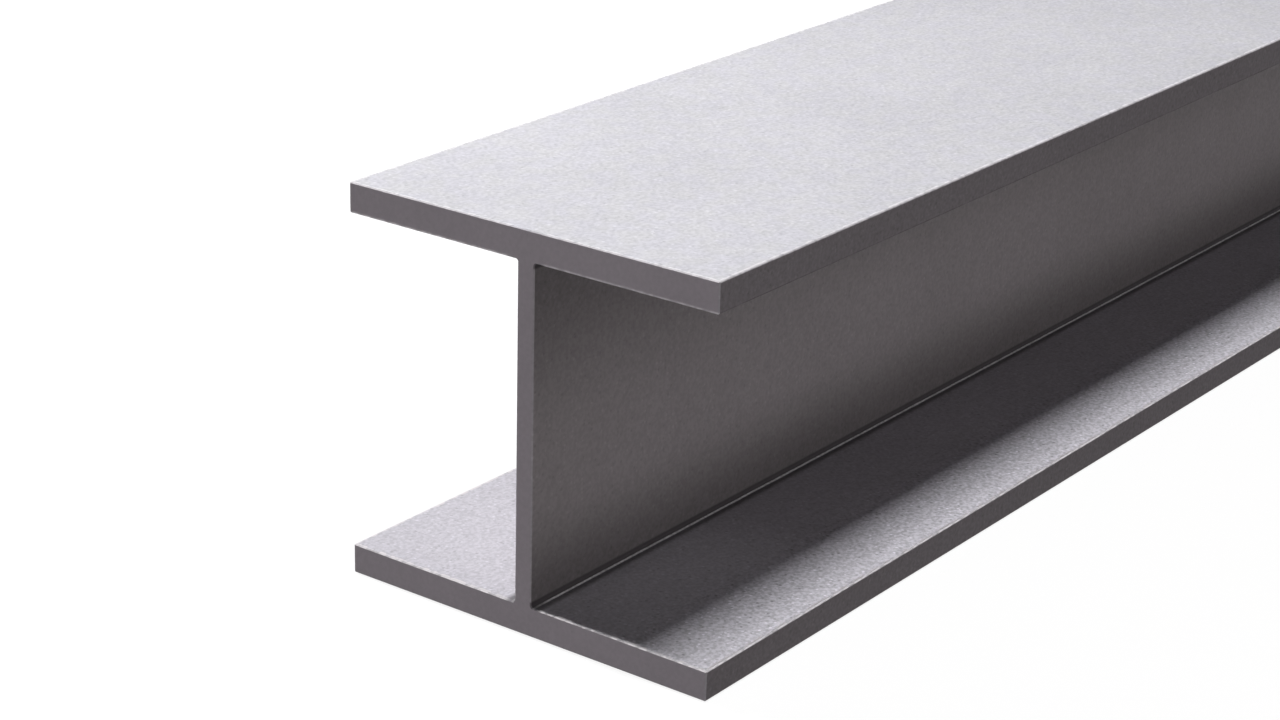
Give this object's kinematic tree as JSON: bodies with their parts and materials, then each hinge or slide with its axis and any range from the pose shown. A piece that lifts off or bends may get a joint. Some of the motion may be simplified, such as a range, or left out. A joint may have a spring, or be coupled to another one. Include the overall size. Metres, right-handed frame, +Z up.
{
  "type": "steel h-beam",
  "caption": "Straight bar of wide-flange steel section: parallel flanges joined by a thin web with tight roots, saw-cut square at the ends, used as a column or beam.",
  "frame": {"origin": "under the middle of the bar, on the underside of the bottom flange", "axes": "+X along the bar, +Y across the flanges, +Z up from the bottom flange to the top flange"},
  "size_m": [1, 0.12, 0.113],
  "materials": {
    "steel": "dull satin grey, finely pitted rolled and descaled skin with sawn ends"
  },
  "bodies": {
    "root": {"h_beam": "steel"}
  },
  "joints": []
}
